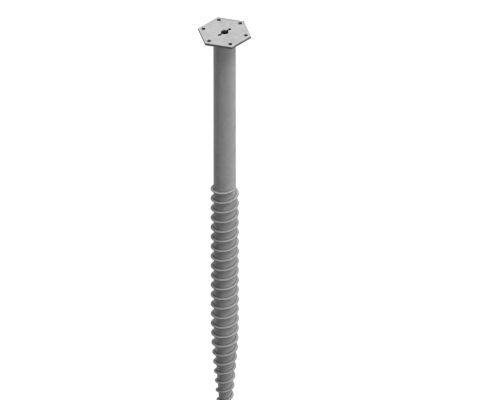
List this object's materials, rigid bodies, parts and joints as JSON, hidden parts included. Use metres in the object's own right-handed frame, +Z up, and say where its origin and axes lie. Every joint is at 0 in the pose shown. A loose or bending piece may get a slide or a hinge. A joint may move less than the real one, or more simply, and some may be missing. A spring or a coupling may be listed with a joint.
{
  "type": "foundation ground screw",
  "caption": "Galvanised steel ground screw: tube with a swaged point, helical fin and a drilled hexagonal flange plate for bolting on posts or frames.",
  "frame": {"origin": "on the ground under the middle of the lying screw's bounding box", "axes": "+X along the screw towards the flange head, +Z up, the screw lying on one flat of the flange and the rim of its fin"},
  "size_m": [1.8014, 0.1848, 0.1602],
  "materials": {
    "galvanised_plate": "hot-dip galvanised, matt zinc grey with a soft spangle",
    "galvanised_tube": "hot-dip galvanised, matt zinc grey with faint runs along the tube",
    "galvanised_fin": "hot-dip galvanised, matt zinc grey",
    "galvanised_weld": "galvanised weld bead, rippled"
  },
  "bodies": {
    "root": {"flange_plate": "galvanised_plate", "shaft_tube": "galvanised_tube", "helix_fin": "galvanised_fin", "flange_weld": "galvanised_weld"}
  },
  "joints": []
}
